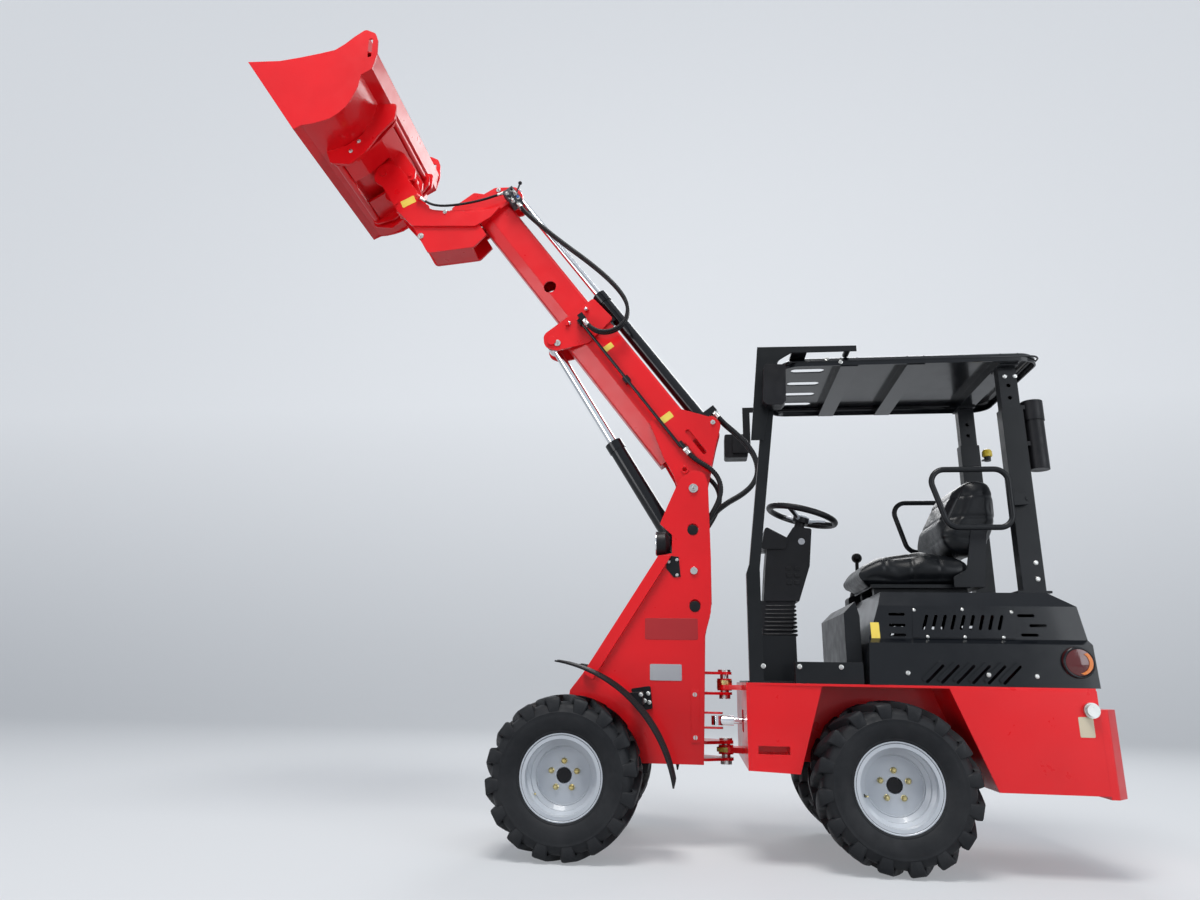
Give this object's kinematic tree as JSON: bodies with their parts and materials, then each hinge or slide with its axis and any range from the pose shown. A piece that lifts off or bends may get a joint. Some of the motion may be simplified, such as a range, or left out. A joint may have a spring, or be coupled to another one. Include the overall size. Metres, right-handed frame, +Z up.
{
  "type": "wheel loader",
  "caption": "Compact articulated wheel loader with a telescopic boom, quick-hitch bucket, four lugged tyres and an open canopy over the seat.",
  "frame": {"origin": "middle of the overall length and width, on the ground under the tyres", "axes": "+X forward to the bucket, +Y to the machine's left, +Z up"},
  "size_m": [4.082, 1.13, 4.0879],
  "materials": {
    "red_paint": "gloss",
    "black_gloss": "gloss",
    "black_satin": "satin",
    "black_plastic": "matte",
    "chrome": "polished",
    "zinc": "satin",
    "engine_iron": "matte",
    "rim_paint": "satin",
    "tyre": "matte",
    "seat_vinyl": "satin",
    "hose_rubber": "matte",
    "lamp_lens": "gloss"
  },
  "bodies": {
    "rear": {"rear_frame": "red_paint", "side_boxes": "red_paint", "rear_boxes": "red_paint", "counterweight": "red_paint", "bonnet": "black_gloss", "rops_posts": "black_satin", "roof": "black_gloss", "front_post": "black_satin", "lamp_left": "black_plastic", "lamp_right": "black_plastic", "floor_deck": "black_satin", "steering_column": "black_plastic", "engine_block": "engine_iron", "seat_base": "black_satin", "seat_cushion": "seat_vinyl", "seat_back": "seat_vinyl", "side_console": "black_plastic", "document_tube": "black_plastic", "tail_lamps": "lamp_lens", "fuel_cap": "zinc", "rear_axle": "black_satin"},
    "front": {"front_frame": "red_paint", "articulation_pins": "zinc", "tower_pins": "zinc", "mudguards": "black_plastic", "head_lamps": "black_plastic", "front_axle": "black_satin", "hose_foot_left": "hose_rubber", "hose_foot_right": "hose_rubber", "hose_ram_outer": "hose_rubber", "hose_ram_inner": "hose_rubber"},
    "steering_wheel": {"steering_wheel": "black_plastic"},
    "guard_left": {"guard_left": "black_satin"},
    "guard_right": {"guard_right": "black_satin"},
    "outer_boom": {"outer_boom": "red_paint", "extension_barrel": "black_gloss", "boom_pipes": "zinc"},
    "inner_boom": {"inner_boom": "red_paint", "extension_rod": "chrome", "valve_block": "zinc", "hose_head_inner": "hose_rubber", "hose_head_outer": "hose_rubber", "hose_hitch": "hose_rubber"},
    "lift_barrel": {"lift_barrel": "black_gloss"},
    "lift_rod": {"lift_rod": "chrome"},
    "steering_barrel": {"steering_barrel": "black_gloss"},
    "steering_rod": {"steering_rod": "chrome"},
    "tilt_lever": {"tilt_lever": "red_paint"},
    "tilt_link": {"tilt_link": "red_paint"},
    "bucket": {"coupler": "red_paint", "bucket": "red_paint"},
    "wheel_front_left": {"tyre_front_left": "tyre", "rim_front_left": "rim_paint"},
    "wheel_front_right": {"tyre_front_right": "tyre", "rim_front_right": "rim_paint"},
    "wheel_rear_left": {"tyre_rear_left": "tyre", "rim_rear_left": "rim_paint"},
    "wheel_rear_right": {"tyre_rear_right": "tyre", "rim_rear_right": "rim_paint"}
  },
  "joints": [
    {"name": "wheel_front_left_spin", "type": "hinge", "parent": "front", "child": "wheel_front_left", "pos_m": [0.209, 0.37, 0.325], "axis": [0, 1, 0], "continuous": true},
    {"name": "wheel_front_right_spin", "type": "hinge", "parent": "front", "child": "wheel_front_right", "pos_m": [0.209, -0.37, 0.325], "axis": [0, 1, 0], "continuous": true},
    {"name": "wheel_rear_left_spin", "type": "hinge", "parent": "rear", "child": "wheel_rear_left", "pos_m": [-1.131, 0.37, 0.325], "axis": [0, 1, 0], "continuous": true},
    {"name": "wheel_rear_right_spin", "type": "hinge", "parent": "rear", "child": "wheel_rear_right", "pos_m": [-1.131, -0.37, 0.325], "axis": [0, 1, 0], "continuous": true},
    {"name": "articulation", "type": "hinge", "parent": "rear", "child": "front", "pos_m": [-0.479, 0, 0.57], "axis": [0, 0, 1], "range_deg": [-40, 40]},
    {"name": "steering_barrel_swing", "type": "hinge", "parent": "rear", "child": "steering_barrel", "pos_m": [-0.899, 0.09, 0.545], "axis": [0, 0, 1], "range_deg": [-3.43, 3.43]},
    {"name": "steering_rod_slide", "type": "slide", "parent": "steering_barrel", "child": "steering_rod", "axis": [0.9991, 0.0434, 0], "range_m": [-0.0719, 0.0719]},
    {"name": "steering_wheel_turn", "type": "hinge", "parent": "rear", "child": "steering_wheel", "pos_m": [-0.874, 0, 1.505], "axis": [-0.2588, 0, 0.9659], "continuous": true},
    {"name": "boom_lift", "type": "hinge", "parent": "front", "child": "outer_boom", "pos_m": [-0.347, 0, 1.616], "axis": [0, 1, 0], "range_deg": [0, 86]},
    {"name": "lift_barrel_swing", "type": "hinge", "parent": "front", "child": "lift_barrel", "pos_m": [-0.344, 0, 1.216], "axis": [0, 1, 0], "range_deg": [-0.5, 77.2]},
    {"name": "lift_rod_slide", "type": "slide", "parent": "lift_barrel", "child": "lift_rod", "axis": [0.5138, 0, 0.8579], "range_m": [-0.5154, 0.002]},
    {"name": "telescope", "type": "slide", "parent": "outer_boom", "child": "inner_boom", "axis": [-0.599, 0, -0.8007], "range_m": [0, 0.58]},
    {"name": "bucket_tilt", "type": "hinge", "parent": "inner_boom", "child": "bucket", "pos_m": [1.411, 0, 3.516], "axis": [0, -1, 0], "range_deg": [-85, 50]},
    {"name": "tilt_lever_swing", "type": "hinge", "parent": "inner_boom", "child": "tilt_lever", "pos_m": [1.31802, 0, 3.31661], "axis": [0, -1, 0], "range_deg": [-85.5, 50.5]},
    {"name": "tilt_link_swing", "type": "hinge", "parent": "tilt_lever", "child": "tilt_link", "pos_m": [1.16702, 0, 3.31461], "axis": [0, -1, 0], "range_deg": [-50.5, 85.5]},
    {"name": "guard_left_swing", "type": "hinge", "parent": "rear", "child": "guard_left", "pos_m": [-1.794, 0.352, 1.506], "axis": [0, -1, 0], "range_deg": [0, 85]},
    {"name": "guard_right_swing", "type": "hinge", "parent": "rear", "child": "guard_right", "pos_m": [-1.794, -0.352, 1.506], "axis": [0, -1, 0], "range_deg": [0, 85]}
  ],
  "couplings": [
    {"joint": "steering_barrel_swing", "follows": "articulation", "ratio": 0.08077},
    {"joint": "steering_rod_slide", "follows": "articulation", "m_per_rad": -0.10158},
    {"joint": "lift_barrel_swing", "follows": "boom_lift", "ratio": 0.8918},
    {"joint": "lift_rod_slide", "follows": "boom_lift", "m_per_rad": -0.34204},
    {"joint": "tilt_lever_swing", "follows": "bucket_tilt", "ratio": 1},
    {"joint": "tilt_link_swing", "follows": "bucket_tilt", "ratio": -1}
  ]
}
